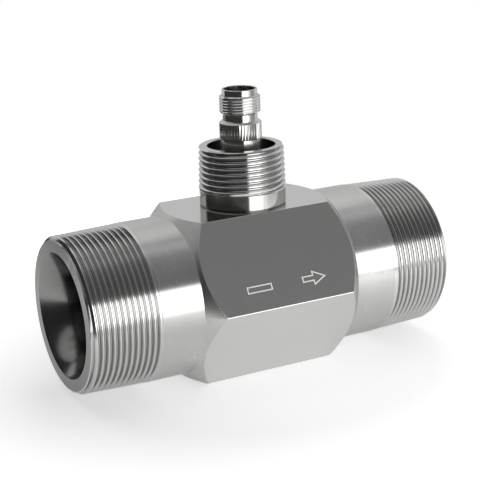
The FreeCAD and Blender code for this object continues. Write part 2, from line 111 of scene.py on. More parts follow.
def gridMesh(name, grid, finish, groove=None):
    # a grid of points as one mesh. Corners that share a place are welded, so seams and poles close, and faces
    # with under three corners left are dropped. The UV map is the length run along the profile in U and round
    # it in V, in metres. The groove attribute says how deep in a thread each point lies, from 0 at the crest
    # to 1 at the root
    rows, columns = grid.shape[:2]
    keys = np.round(grid.reshape(-1, 3) / weldStep).astype(np.int64)
    _, first, index = np.unique(keys, axis=0, return_index=True, return_inverse=True)
    points = grid.reshape(-1, 3)[first]
    corners = gridFaces(index.reshape(rows, columns))
    alongStep = np.linalg.norm(np.diff(grid, axis=0, prepend=grid[:1]), axis=-1)
    aroundStep = np.linalg.norm(np.diff(grid, axis=1, prepend=grid[:, :1]), axis=-1)
    uv = np.stack([np.cumsum(alongStep, axis=0), np.cumsum(aroundStep, axis=1)], axis=-1).reshape(-1, 2)
    cornerUv = uv[gridFaces(np.arange(rows * columns).reshape(rows, columns))]
    finishes = np.repeat(finish, columns - 1) if np.ndim(finish) else np.full(len(corners), finish)

    # whole faces first, then those with one pair of corners welded, as triangles
    same = corners == np.roll(corners, -1, axis=1)
    cross = (corners[:, 0] == corners[:, 2]) | (corners[:, 1] == corners[:, 3])
    whole = (same.sum(axis=1) == 0) & ~cross
    loops, loopUv = [corners[whole].ravel()], [cornerUv[whole].reshape(-1, 2)]
    sizes, slots = [np.full(whole.sum(), 4)], [finishes[whole]]
    for corner in range(4):
        three = (same.sum(axis=1) == 1) & same[:, corner] & ~cross
        keep = [k for k in range(4) if k != corner]
        loops.append(corners[three][:, keep].ravel())
        loopUv.append(cornerUv[three][:, keep].reshape(-1, 2))
        sizes.append(np.full(three.sum(), 3))
        slots.append(finishes[three])
    loops, loopUv, sizes, slots = (np.concatenate(part) for part in (loops, loopUv, sizes, slots))
    starts = np.concatenate([[0], np.cumsum(sizes)[:-1]])

    # six times the volume that the faces close in: the sum of each face's fan of corners from the origin.
    # It is below zero where the faces point inwards, and then they are turned
    fan = np.repeat(points[loops[starts]], sizes, axis=0)
    ahead = np.arange(len(loops)) + 1
    ahead[starts + sizes - 1] = starts
    volume = np.einsum("ij,ij->", fan, np.cross(points[loops], points[loops[ahead]]))
    mesh = bpy.data.meshes.new(name)
    mesh.vertices.add(len(points))
    mesh.vertices.foreach_set("co", points.astype(np.float32).ravel())
    mesh.loops.add(len(loops))
    mesh.loops.foreach_set("vertex_index", loops.astype(np.int32))
    mesh.polygons.add(len(sizes))
    mesh.polygons.foreach_set("loop_start", starts.astype(np.int32))
    mesh.polygons.foreach_set("material_index", slots.astype(np.int32))
    mesh.update(calc_edges=True)
    if groove is not None:
        deep = mesh.attributes.new("groove", "FLOAT", "POINT")
        deep.data.foreach_set("value", groove.ravel()[first].astype(np.float32))
    mesh.uv_layers.new(name="turning").data.foreach_set("uv", loopUv.astype(np.float32).ravel())
    if volume < 0:
        mesh.flip_normals()
    mesh.validate()
    mesh.shade_smooth()
    mesh.set_sharp_from_angle(angle=math.radians(sharpTurn))
    return placeMesh(name, mesh)


def placeMesh(name, mesh):
    piece = bpy.data.objects.new(name, mesh)
    scene.collection.objects.link(piece)
    return piece


def finishPiece(piece, body, nodes=(), materials=()):
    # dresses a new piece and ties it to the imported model
    for material in materials:
        piece.data.materials.append(material)
    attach(piece, body)
    if nodes:
        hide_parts(*nodes)
    return piece


# the thread form, shared by every thread. Crest, root and ease are shares of the pitch, and fadeFrom and
# fadeOver are turns from the thread's start

def threadForm(thread):
    # depth share along one pitch, from the middle of one root to the next: flat root, straight flank, flat
    # crest, with each crest corner eased
    crest, root, ease = thread["crest"] / 2, thread["root"] / 2, thread["ease"]
    eased = ease / (0.5 - crest - root)
    before, after = 0.5 - crest, 0.5 + crest
    phase = np.array([root, before - ease, before + ease, after - ease, after + ease, 1 - root])
    return phase, np.array([1, eased, 0, 0, eased, 1])


def threadRows(thread, angles):
    # a station at phase f of turn n lies at start + pitch * (n + f + angle / turn), held between the thread's
    # ends, so rows follow the helix; its radius is the crest cone less the depth at that phase. The first
    # groove fades in over part of a turn, as a tool is fed in
    phase, depth = threadForm(thread)
    start, end, pitch, hand = thread["start"], thread["end"], thread["pitch"], thread["hand"]
    turns = np.arange(-2, math.ceil((end - start) / pitch) + 2)
    stations = (turns[:, None] + phase).ravel()[:, None]
    turned = hand * angles / tau
    along = np.clip(start + pitch * (stations + turned), start, end)
    place = (along - start) / pitch - turned
    share = np.interp(np.mod(place, 1.0), [0, *phase, 1], [1, *depth, 1])
    grooveCentre = np.round(place) + turned
    drawn = np.clip((grooveCentre - thread["fadeFrom"]) / thread["fadeOver"], 0, 1)
    drawn = drawn * drawn * (3 - 2 * drawn)
    crest = thread["crestAtEnd"] + (end - along) * thread["taper"] / 2
    return along, crest - thread["depth"] * share * drawn, share * drawn


# sizes that several pieces share, in metres

boreHeight = (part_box("inlet_nose_cone")[0].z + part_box("inlet_nose_cone")[1].z) / 2
apothem = boreHeight              # the hexagon stands on one of its flats
halfLength = cadHigh.x
pipePitch = 25.4 / 11.5 * mm      # 11.5 threads per inch
pipeTaper = 1 / 16                # on the diameter


# materials. Real tool lines lie about 0.1 mm apart and a ground grain is finer still, which is too fine to
# show, so each is drawn as coarse as the sizes in mm below say

edgeTint = linear("#D4D4D4")     # worn steel stays grey where it is seen at a glancing angle
white = linear("#FFFFFF")


def steel(name, colour, roughness, anisotropy, lines, mottle=0.05, rootShadeTone=1.0):
    # machined stainless steel: a grey metal whose fine tool lines stretch each reflection across them. Lines
    # gives their spacing and their length on the turned face, in mm. Thread roots are darkened by the root
    # shade tone as deep as they lie: painted shade in the grooves, partly also old oil
    material, tree = newMaterial(name)
    place = addNode(tree, "ShaderNodeUVMap", {"uv_map": "turning"})
    stretch = addNode(tree, "ShaderNodeMapping", None, Vector=place.outputs[0],
                      Scale=(1 / (lines[0] * mm), 1 / (lines[1] * mm), 1))
    fine = addNode(tree, "ShaderNodeTexNoise", None, Vector=stretch.outputs[0], Scale=1.0,
                   Detail=3.0, Roughness=0.6)
    spot = addNode(tree, "ShaderNodeTexCoord")
    cloudSize = 11.11 * mm       # soft stains about as wide as a fingertip
    cloud = addNode(tree, "ShaderNodeTexNoise", None, Vector=spot.outputs["Object"], Scale=1 / cloudSize,
                    Detail=4.0, Roughness=0.55)
    base = np.array(linear(colour))
    blend = addNode(tree, "ShaderNodeMath", {"operation": "ADD"}, i0=fine.outputs[0], i1=cloud.outputs[0])
    tone = addNode(tree, "ShaderNodeMapRange", None, Value=blend.outputs[0], From_Min=0.7, From_Max=1.3)
    tint = addNode(tree, "ShaderNodeMix", {"data_type": "RGBA"}, i0=tone.outputs[0],
                   i6=[*(base[:3] * (1 - mottle)), 1], i7=[*(base[:3] * (1 + mottle)), 1])
    # painted shade: the colour darkens towards the thread roots with the groove depth, partly also standing
    # for old oil
    depth = addNode(tree, "ShaderNodeAttribute", {"attribute_name": "groove"})
    rootShaded = addNode(tree, "ShaderNodeMix", {"data_type": "RGBA"}, i0=depth.outputs["Fac"], i6=tint.outputs[2],
                   i7=[*(base[:3] * rootShadeTone), 1])
    rough = addNode(tree, "ShaderNodeMapRange", None, Value=blend.outputs[0], From_Min=0.6, From_Max=1.4,
                    To_Min=roughness * 0.85, To_Max=roughness * 1.15)
    tangent = addNode(tree, "ShaderNodeTangent", {"direction_type": "UV_MAP", "uv_map": "turning"})
    bump = addNode(tree, "ShaderNodeBump", None, Height=fine.outputs[0], Strength=1.0, Distance=0.001 * mm)
    shader = addNode(tree, "ShaderNodeBsdfPrincipled", None, Base_Color=rootShaded.outputs[2], Metallic=1.0,
                     Specular_Tint=edgeTint, Roughness=rough.outputs[0], Anisotropic=anisotropy,
                     Tangent=tangent.outputs[0], Normal=bump.outputs[0])
    addNode(tree, "ShaderNodeOutputMaterial", None, Surface=shader.outputs[0])
    return material


def plain(name, colour, metallic, roughness, grain, bumpDepth, mottle=0.06):
    # a moulded, ground or plated finish with a faint grain, whose width and the depth of its bumps are in mm
    material, tree = newMaterial(name)
    spot = addNode(tree, "ShaderNodeTexCoord")
    stretch = addNode(tree, "ShaderNodeMapping", None, Vector=spot.outputs["Object"],
                      Scale=[1 / (width * mm) for width in np.broadcast_to(grain, 3)])
    cloud = addNode(tree, "ShaderNodeTexNoise", None, Vector=stretch.outputs[0], Scale=1.0,
                    Detail=4.0, Roughness=0.6)
    base = np.array(linear(colour))
    tint = addNode(tree, "ShaderNodeMix", {"data_type": "RGBA"}, i0=cloud.outputs[0],
                   i6=[*(base[:3] * (1 - mottle)), 1], i7=[*(base[:3] * (1 + mottle)), 1])
    rough = addNode(tree, "ShaderNodeMapRange", None, Value=cloud.outputs[0],
                    To_Min=roughness * 0.8, To_Max=roughness * 1.2)
    bump = addNode(tree, "ShaderNodeBump", None, Height=cloud.outputs[0], Strength=1.0,
                   Distance=bumpDepth * mm)
    shader = addNode(tree, "ShaderNodeBsdfPrincipled", None, Base_Color=tint.outputs[2], Metallic=metallic,
                     Specular_Tint=edgeTint if metallic else white, Roughness=rough.outputs[0],
                     Normal=bump.outputs[0])
    addNode(tree, "ShaderNodeOutputMaterial", None, Surface=shader.outputs[0])
    return material


# turned and cut steel: colour, roughness, stretch of the reflections, spacing and length of the tool lines
turnedSteel = steel("turnedStainless", "#BFBFBE", 0.26, 0.85, (0.25, 25))     # satin, banded along the bar
# the thread-cut steel gets painted shade in its roots, by its root shade tone
threadSteel = steel("threadCutStainless", "#C6C6C5", 0.18, 0.3, (0.2, 16.67), rootShadeTone=0.65)    # bright
# the mouth's steel is darker than the turned steel: painted shade for the dimmer surroundings seen in the
# mouth's hollow
shadedMouthSteel = steel("shadedBoredStainless", "#868685", 0.2, 0.6, (0.25, 25))         # grey, with blurred rings
# the bore's steel is much darker than the turned steel: painted shade inside the bore
shadedBoreSteel = steel("shadedHonedStainless", "#5C5C5B", 0.25, 0.4, (0.25, 25))         # dark and even
# the end face's steel is darker than the turned steel: painted shade for the darker room it reflects; its
# rougher finish is real
shadedFaceSteel = steel("shadedFacedStainless", "#8F8F8E", 0.22, 0.5, (0.25, 25))        # grey end, fine rings
pickupSteel = steel("pickupStainless", "#C4C3C1", 0.16, 0.6, (0.2, 16.67))    # brighter, nearly polished
# other finishes: colour, metallic, roughness, grain width and bump depth
flatGrain = (16.67, 1.111, 1.111)        # long along the bar
# the flats' steel is lighter than the turned steel: painted light for the brighter floor they reflect
brightenedFlatSteel = plain("brightenedMilledStainlessFlat", "#CBCBCA", 1.0, 0.15, flatGrain, 0.0002, 0.02)    # calm sheen
groundSteel = plain("groundStainless", "#B8B8B6", 1.0, 0.24, 1.111, 0.002)       # even silver-grey
rotorSteel = plain("milledMagneticStainless", "#AEAEAE", 1.0, 0.28, 0.8333, 0.002)    # a shade darker
etchedSteel = plain("etchedStainless", "#DCDCDA", 0.6, 0.55, 0.3333, 0.003)      # pale and frosted
springSteel = plain("springSteel", "#9A9A98", 1.0, 0.32, 0.6667, 0.003)          # dull grey
carbide = plain("lappedCarbide", "#6E6E70", 1.0, 0.18, 0.4, 0.001)               # dark, smooth gleam
phenolic = plain("mouldedPhenolic", "#22221F", 0.0, 0.5, 0.4, 0.01)              # matt brown-black
goldPlate = plain("goldPlatedContact", "#D4AF5A", 1.0, 0.22, 0.4, 0.001)         # warm gleam
copperWire = plain("enamelledCopper", "#B4622C", 1.0, 0.3, 0.3333, 0.02)         # red-brown gloss
nylon = plain("glassFilledNylon", "#D8D2BE", 0.0, 0.5, 0.4, 0.01)                # cream, slightly mottled
epoxy = plain("castEpoxy", "#1B1B1B", 0.0, 0.25, 0.6667, 0.01)                   # black gloss
ironGrey = plain("groundIron", "#7C7C7C", 1.0, 0.35, 0.6667, 0.003)              # dull mid grey
print("materials made")


# meter body: hexagon bar, turned ends, pipe threads and the stepped bore. Inside it, reaches are distances
# from the rotor's plane, and heights are distances above the bore's axis

bodySizes = {
    "hexApothem": apothem, "edgeRound": 0.4 * mm, "flatColumns": 49, "hexEdgeLength": 54.3 * mm,
    "shankRadius": 30.65 * mm, "edgeBreak": 0.3 * mm, "breakLead": 1.6, "footRadius": 0.35 * mm,
    "threadLength": 26.9 * mm, "beforeThread": 0.15 * mm, "threadEndRadius": 29.7 * mm,
    "threadForm": {"depth": 1.25 * mm, "crest": 0.24, "root": 0.17, "ease": 0.03,
                   "fadeFrom": 0.25, "fadeOver": 0.45},
    "faceRadius": 28.3 * mm, "mouthRadius": 23.65 * mm, "mouthSlope": math.tan(math.radians(30)),
    "mouthBreak": 0.2 * mm, "entryRadius": 18.25 * mm, "locatingRadius": 18.0 * mm,
    "locatingReach": 53.5 * mm, "measuringRadius": 17.4 * mm, "measuringReach": 13.0 * mm,
    "grooveRadius": 18.95 * mm, "grooveStart": 37.0 * mm, "grooveWidth": 1.4 * mm,
    "spigotSeatRadius": 14.05 * mm, "spigotSeatHeight": 24.25 * mm, "wellRadius": 8.2 * mm,
    "wellHeight": 19.4 * mm, "cutterTop": 40 * mm,
}


def hexAngles(size):
    # columns all round: evenly spaced on each flat, and close together round each edge, whose small circle
    # touches the flats 30 degrees to either side of its middle, at the reach
    corner = size["hexApothem"] / math.cos(math.pi / 6)
    inner = corner - size["edgeRound"] / math.cos(math.pi / 6)
    reach = math.atan2(size["edgeRound"] * 0.5, inner + size["edgeRound"] * math.cos(math.pi / 6))
    near = np.array([-1.6, -1.0, -0.5, 0, 0.5, 1.0, 1.6]) * reach
    flat = np.linspace(near[-1], tau / 6 + near[0], size["flatColumns"])[1:-1]
    one = np.concatenate([near, flat])
    angles = (np.arange(6)[:, None] * tau / 6 + one).ravel() + tau / 12
    return np.append(angles, angles[0] + tau), reach, inner


def hexRadius(size, angles, reach, inner):
    # distance of the hexagon's surface from its axis: apothem / cos on a flat, a small circle at each edge
    offset = np.mod(angles, tau / 6) - tau / 12
    flat = size["hexApothem"] / np.cos(np.mod(angles + tau / 12, tau / 6) - tau / 12)
    inside = size["edgeRound"] ** 2 - (inner * np.sin(offset)) ** 2
    edge = inner * np.cos(offset) + np.sqrt(np.maximum(inside, 0))
    return np.where(np.abs(offset) < reach, edge, flat)


def curveWeights(share):
    # weights of the three points of a quadratic curve, at a share of its way
    return (1 - share) ** 2, 2 * share * (1 - share), share ** 2


def makeBody(size):
    # rings of points at (distance from the rotor's plane, radius) for each angle. The end cone is at 45
    # degrees, so its radius is shank radius + foot - distance, and it meets the hexagon at foot - (hexagon
    # radius - shank radius), which is the curved edge of each flat. The outlet half is made first, and the
    # inlet half is the same profile at negative distances, with its thread's hand turned round
    angles, reach, inner = hexAngles(size)
    hexR = hexRadius(size, angles, reach, inner)
    one = np.ones_like(angles)
    cornerR = size["hexApothem"] / math.cos(math.pi / 6)
    foot = size["hexEdgeLength"] / 2 + cornerR - size["shankRadius"]
    meet = foot - (hexR - size["shankRadius"])
    ease, toe = size["edgeBreak"], size["footRadius"] * math.tan(math.pi / 8)
    slope = math.sqrt(0.5)       # sine and cosine of the cone's 45 degrees
    turnedSlot, flatSlot, threadSlot, mouthSlot, faceSlot, boreSlot = range(6)

    def add(along, radius, slot, depth=0):
        rows.append(np.atleast_2d(along * one))
        radii.append(np.atleast_2d(radius * one))
        depths.append(np.atleast_2d(depth * one))
        finish.extend([slot] * len(rows[-1]))

    def halfOutside(hand):
        # from the middle of the hexagon to the end face
        add(0, hexR, flatSlot)
        add(meet - ease * size["breakLead"], hexR, flatSlot)
        for share in (0.0, 0.25, 0.5, 0.75, 1.0):   # a small rounded break between flat and cone
            a, b, c = curveWeights(share)
            add(a * (meet - ease) + b * meet + c * (meet + ease * slope), hexR - c * ease * slope,
                flatSlot if share < 0.5 else turnedSlot)
        for share in (0.0, 0.34, 0.67, 1.0):        # the tool's nose radius where cone meets shank
            a, b, c = curveWeights(share)
            add(a * (foot - toe * slope) + b * foot + c * (foot + toe), size["shankRadius"] + a * toe * slope,
                turnedSlot)
        start = halfLength - size["threadLength"]
        add(start - size["beforeThread"], size["shankRadius"], turnedSlot)
        thread = {**size["threadForm"], "start": start, "end": halfLength, "pitch": pipePitch, "hand": hand,
                  "taper": pipeTaper, "crestAtEnd": size["threadEndRadius"]}
        along, radius, depth = threadRows(thread, angles)
        chamfer = size["faceRadius"] + (halfLength - along)
        add(along, np.minimum(radius, chamfer), threadSlot, depth)

    def halfInside():
        # the mouth and the stepped bore, from the end face inwards
        mouth, entry, lip = size["mouthRadius"], size["entryRadius"], size["mouthBreak"]
        depth = (mouth - entry) / size["mouthSlope"]
        add(halfLength, mouth + lip, faceSlot)
        add(halfLength - lip, mouth, mouthSlot)
        add(halfLength - depth, entry, mouthSlot)
        locating, groove = size["locatingRadius"], size["grooveStart"]
        grooveEnd = groove + size["grooveWidth"]
        for along, radius in [
                (size["locatingReach"], entry), (size["locatingReach"], locating), (grooveEnd, locating),
                (grooveEnd, size["grooveRadius"]), (groove, size["grooveRadius"]), (groove, locating),
                (size["measuringReach"], locating), (size["measuringReach"], size["measuringRadius"]),
                (0, size["measuringRadius"])]:
            add(along, radius, boreSlot)

    halves = []
    for hand in (1, -1):
        rows, radii, depths, finish = [], [], [], []
        halfOutside(hand)
        halfInside()
        halves.append([np.vstack(rows), np.vstack(radii), np.vstack(depths), np.array(finish)])
    outlet, inlet = halves
    along = np.vstack([outlet[0], -inlet[0][::-1]])
    radius = np.vstack([outlet[1], inlet[1][::-1]])
    depth = np.vstack([outlet[2], inlet[2][::-1]])
    # a row's finish is on the band that leads to it
    slots = np.concatenate([outlet[3][1:], [boreSlot], inlet[3][:0:-1]])
    return gridMesh("meterBody", circlePoints("x", along, radius, angles), slots, depth)


def lathe(name, outline, columns=96):
    # a profile of (height, radius) points carried round the upright axis
    outline = np.array(outline)
    angles = np.linspace(0, tau, columns + 1)
    return gridMesh(name, circlePoints("z", outline[:, :1], outline[:, 1:], angles), 0)


def cutAway(piece, cutter):
    # takes the cutter out of the piece
    step = piece.modifiers.new("cut", "BOOLEAN")
    step.operation, step.object, step.solver = "DIFFERENCE", cutter, "EXACT"
    dressed = piece.evaluated_get(bpy.context.evaluated_depsgraph_get())
    cut = bpy.data.meshes.new_from_object(dressed)
    piece.modifiers.clear()
    piece.data = cut
    cut.set_sharp_from_angle(angle=math.radians(sharpTurn))
    bpy.data.objects.remove(cutter)


def cutSeat(body, size):
    # the stepped seat for the riser's spigot, and under it the well for the pickup's tip
    wellFloor, seatFloor = boreHeight + size["wellHeight"], boreHeight + size["spigotSeatHeight"]
    top = boreHeight + size["cutterTop"]
    cutAway(body, lathe("seatCutter", [
        (wellFloor, 0), (wellFloor, size["wellRadius"]), (seatFloor, size["wellRadius"]),
        (seatFloor, size["spigotSeatRadius"]), (top, size["spigotSeatRadius"]), (top, 0)]))


meterBody = makeBody(bodySizes)
for material in (turnedSteel, brightenedFlatSteel, threadSteel, shadedMouthSteel, shadedFaceSteel, shadedBoreSteel):
    meterBody.data.materials.append(material)
cutSeat(meterBody, bodySizes)
finishPiece(meterBody, "housing", ["meter_body"])
print("meter body made:", len(meterBody.data.polygons), "faces")


# riser: a stub with a ring, a pipe thread, a wide bore and a spigot

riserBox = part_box("pickup_riser")
riserSizes = {
    "foot": riserBox[0].z, "top": riserBox[1].z, "flat": boreHeight + apothem, "radius": 16.65 * mm,
    "spigotRadius": 14.0 * mm, "baseChamfer": 0.7 * mm, "ringHeight": 6.5 * mm, "ringBreak": 0.35 * mm,
    "threadEndRadius": 16.3 * mm, "topChamfer": 0.45 * mm, "boreRadius": 13.1 * mm, "floor": 2.3 * mm,
    "holeRadius": 7.95 * mm, "lip": 0.25 * mm, "columns": 288,
    "threadForm": {"depth": 1.2 * mm, "crest": 0.2, "root": 0.16, "ease": 0.03,
                   "fadeFrom": -0.2, "fadeOver": 0.45},
}


def makeRiser(size):
    # a closed profile of (height, radius) points carried round the upright axis: up the outside from the
    # foot, the thread's rows, then down the bore. At its top the thread is cut by a 45 degree cone, whose
    # radius is the rim's plus top - height
    angles = np.linspace(0, tau, size["columns"] + 1)
    base, top, ringTop = size["flat"], size["top"], size["flat"] + size["ringHeight"]
    foot, floor, lip = size["foot"], base + size["floor"], size["lip"]
    thread = {**size["threadForm"], "start": ringTop, "end": top, "pitch": pipePitch, "hand": 1,
              "taper": pipeTaper, "crestAtEnd": size["threadEndRadius"]}
    along, radius, depth = threadRows(thread, angles)
    radius = np.minimum(radius, size["threadEndRadius"] - size["topChamfer"] + (top - along))
    below = np.array([
        (foot, size["holeRadius"]), (foot, size["spigotRadius"] - lip), (foot + lip, size["spigotRadius"]),
        (base, size["spigotRadius"]), (base, size["radius"] - size["baseChamfer"]),
        (base + size["baseChamfer"], size["radius"]), (ringTop - size["ringBreak"], size["radius"]),
        (ringTop, size["radius"] - size["ringBreak"])])
    above = np.array([
        (top, size["boreRadius"] + lip), (top - lip, size["boreRadius"]), (floor, size["boreRadius"]),
        (floor, size["holeRadius"] + lip), (floor - lip, size["holeRadius"]), (foot, size["holeRadius"])])
    one = np.ones_like(angles)
    slots = [0] * (len(below) - 1) + [1] * len(along) + [0] * len(above)
    along = np.vstack([below[:, :1] * one, along, above[:, :1] * one])
    radius = np.vstack([below[:, 1:] * one, radius, above[:, 1:] * one])
    depth = np.vstack([np.zeros((len(below), len(one))), depth, np.zeros((len(above), len(one)))])
    return gridMesh("pickupRiser", circlePoints("z", along, radius, angles), slots, depth)


pickupRiser = makeRiser(riserSizes)
finishPiece(pickupRiser, "housing", ["pickup_riser"], [pickupSteel, threadSteel])
print("riser made")


# magnetic pickup: threaded barrel, relief, ribbed collar, neck, plug thread and rim, round a stepped bore

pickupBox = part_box("pickup_shell")
pickupSizes = {
    "tip": pickupBox[0].z, "rim": pickupBox[1].z, "poleHole": 1.65 * mm, "barrel": 7.9 * mm,
    "tipChamfer": 0.8 * mm,
    "barrelThread": {"pitch": 25.4 / 18 * mm, "depth": 0.8 * mm, "crest": 0.18, "root": 0.12, "ease": 0.03},
    "relief": 7.65 * mm, "reliefLength": 4.2 * mm, "barrelLength": 37.8 * mm, "collar": 8.05 * mm,
    "collarHeight": 6.8 * mm, "collarChamfer": 0.7 * mm, "collarFoot": 0.1 * mm, "collarLid": 0.05 * mm,
    "ribs": 44, "ribDepth": 0.18 * mm, "ribRunIn": 0.35 * mm,
    "ribForm": (0, 0, 0.33, 0.67, 1, 0.9),       # depth share round one rib: crest, then a long flank
    "neck": 6.7 * mm, "neckLength": 2.9 * mm, "neckFoot": 0.25 * mm, "neckTop": 0.15 * mm,
    "coupling": 7.86 * mm,
    "couplingThread": {"pitch": 25.4 / 24 * mm, "depth": 0.16 * mm, "crest": 0.3, "root": 0.16, "ease": 0.04},
    "couplingLength": 7.0 * mm, "couplingChamfer": 0.8 * mm, "couplingSlope": 1.3, "rimRadius": 6.75 * mm,
    "socket": 6.1 * mm, "boreRadius": 6.5 * mm, "lip": 0.2 * mm, "tipThickness": 1.0 * mm,
}


def makePickup(size):
    # a closed profile of (height, radius) points carried round the upright axis: up the outside from the
    # pole hole, over the rim and down the bore. The collar's radius is less by the rib depth times a share
    # that repeats round it, and both ends of each thread are cut by a cone
    ribForm = np.array(size["ribForm"])
    columns = size["ribs"] * len(ribForm)
    angles = np.linspace(0, tau, columns + 1)
    one = np.ones_like(angles)
    ribbed = size["collar"] - ribForm[np.mod(np.arange(columns + 1), len(ribForm))] * size["ribDepth"]
    collarBase = size["tip"] + size["barrelLength"]
    collarTop = collarBase + size["collarHeight"]
    couplingBase = collarTop + size["neckLength"]
    couplingTop = couplingBase + size["couplingLength"]
    reliefBase = collarBase - size["reliefLength"]
    grid, finish = [], []

    def add(along, radius, slot=0, depth=0):
        grid.append([np.atleast_2d(part * one) for part in (along, radius, depth)])
        finish.extend([slot] * len(grid[-1][0]))

    def addThread(form, start, end, crest, endRadius, endSlope):
        # at full depth from its first turn, so the fade lies well before it
        thread = {**form, "start": start, "end": end, "hand": 1, "taper": 0, "crestAtEnd": crest,
                  "fadeFrom": -9, "fadeOver": 1}
        along, radius, depth = threadRows(thread, angles)
        ends = np.minimum(along - start, end - along) * endSlope + endRadius
        add(along, np.minimum(radius, ends), 1, depth)

    def addRings(rings):
        for along, radius in rings:
            add(along, radius)

    collar, chamfer, neck, lip = size["collar"], size["collarChamfer"], size["neck"], size["lip"]
    tipFloor, tipRadius = size["tip"] + size["tipThickness"], size["barrel"] - size["tipChamfer"]
    addRings([(size["tip"], size["poleHole"]), (size["tip"], tipRadius)])
    addThread(size["barrelThread"], size["tip"], reliefBase, size["barrel"], tipRadius, 1)
    addRings([
        (reliefBase, size["relief"]), (collarBase, size["relief"]),
        (collarBase, collar - size["ribDepth"] - size["collarFoot"]),
        (collarBase + size["ribRunIn"], ribbed), (collarTop - chamfer, ribbed),
        (collarTop, collar - chamfer - size["collarLid"]), (collarTop, neck + size["neckFoot"]),
        (collarTop + size["neckFoot"], neck), (couplingBase - size["neckTop"], neck)])
    addThread(size["couplingThread"], couplingBase, couplingTop, size["coupling"],
              size["coupling"] - size["couplingChamfer"], size["couplingSlope"])
    addRings([
        (couplingTop, size["rimRadius"]), (size["rim"] - lip, size["rimRadius"]),
        (size["rim"], size["rimRadius"] - lip), (size["rim"], size["socket"] + lip),
        (size["rim"] - lip, size["socket"]), (collarBase, size["socket"]), (collarBase, size["boreRadius"]),
        (tipFloor, size["boreRadius"]), (tipFloor, size["poleHole"]), (size["tip"], size["poleHole"])])
    along, radius, depth = (np.vstack(part) for part in zip(*grid))
    return gridMesh("pickupShell", circlePoints("z", along, radius, angles), finish[1:], depth)


pickupShell = makePickup(pickupSizes)
finishPiece(pickupShell, "housing", ["pickup_shell"], [pickupSteel, threadSteel])
print("pickup made:", len(pickupShell.data.polygons), "faces")


# flow direction mark, etched in outline on the upper front flat. Its corners are in mm, along the meter and
# up the flat from the mark's middle line, which lies "down" below the middle of the flat

markSizes = {
    "down": 9.7 * mm, "line": 0.46 * mm, "proud": 0.015 * mm, "sunk": 0.05 * mm,
    "bar": (-16.2, -6.2), "barHalf": 1.1, "arrow": (7.2, 16.8), "shaftHalf": 0.95, "headHalf": 2.5,
    "headLength": 5.0,
}


def outlineMark(name, corners, size):
    # a closed line of even width round the corners: each corner moves in and out along its mitre, which is
    # the sum of the two sides' normals / (1 + cosine of the turn). A place u along and d down the flat, at r
    # from the axis, is x = u, y = -r sin 60 - d cos 60, z = bore height + r cos 60 - d sin 60
    corners = np.array(corners) * mm
    before, after = np.roll(corners, 1, axis=0), np.roll(corners, -1, axis=0)
    leave = (after - corners) / np.linalg.norm(after - corners, axis=1, keepdims=True)
    come = (corners - before) / np.linalg.norm(corners - before, axis=1, keepdims=True)
    normal = np.stack([-come[:, 1], come[:, 0]], axis=1) + np.stack([-leave[:, 1], leave[:, 0]], axis=1)
    lean = normal / (1 + np.sum(come * leave, axis=1, keepdims=True))
    sine, cosine = math.sqrt(0.75), 0.5
    high, low = size["proud"], -size["sunk"]
    rows = []
    for side, lift in ((-1, low), (-1, high), (1, high), (1, low), (-1, low)):
        loop = corners + lean * side * size["line"] / 2
        loop = np.vstack([loop, loop[:1]])
        down = size["down"] - loop[:, 1]
        out = apothem + lift
        rows.append(np.stack([loop[:, 0], -out * sine - down * cosine,
                              boreHeight + out * cosine - down * sine], axis=1))
    return gridMesh(name, np.array(rows), 0)


def makeFlowMark(size):
    # a rectangle from its two ends and half width, and an arrow with its head's back at tip - head length
    left, right = size["bar"]
    half = size["barHalf"]
    tail, tip = size["arrow"]
    neck, shaft, head = tip - size["headLength"], size["shaftHalf"], size["headHalf"]
    bar = outlineMark("flowMarkTail", [(left, -half), (right, -half), (right, half), (left, half)], size)
    arrow = outlineMark("flowMarkArrow", [(tail, -shaft), (neck, -shaft), (neck, -head), (tip, 0),
                                          (neck, head), (neck, shaft), (tail, shaft)], size)
    for piece in (bar, arrow):
        finishPiece(piece, "housing", (), [etchedSteel])


makeFlowMark(markSizes)
print("flow mark made")


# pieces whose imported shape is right: welded copies with broken edges

copySizes = {"weld": 0.001 * mm, "flatTurn": 0.6, "sharpTurn": 30, "segments": 2}     # turns in degrees


def brokenEdgeCopy(name, nodeName, body, slotName, material, width, size):
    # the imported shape, its loose triangles welded and flat faces joined, with a small break along each
    # sharp edge
    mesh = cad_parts[nodeName].data.copy()
    mesh.materials.clear()
    work = bmesh.new()
    work.from_mesh(mesh)
    bmesh.ops.remove_doubles(work, verts=work.verts, dist=size["weld"])
    bmesh.ops.dissolve_limit(work, angle_limit=math.radians(size["flatTurn"]), verts=work.verts,
                             edges=work.edges)
    work.to_mesh(mesh)
    work.free()
    mesh.name = name
    piece = placeMesh(name, mesh)
    if width:
        edge = piece.modifiers.new("edgeBreak", "BEVEL")
        edge.width, edge.segments, edge.limit_method = width, size["segments"], "ANGLE"
        edge.angle_limit = math.radians(size["sharpTurn"])
        edge.use_clamp_overlap = True
        dressed = piece.evaluated_get(bpy.context.evaluated_depsgraph_get())
        piece.data = bpy.data.meshes.new_from_object(dressed)
        piece.modifiers.clear()
    piece.data.shade_smooth()
    piece.data.set_sharp_from_angle(angle=math.radians(size["sharpTurn"]))
    return finishPiece(piece, body, [nodeName], [material])


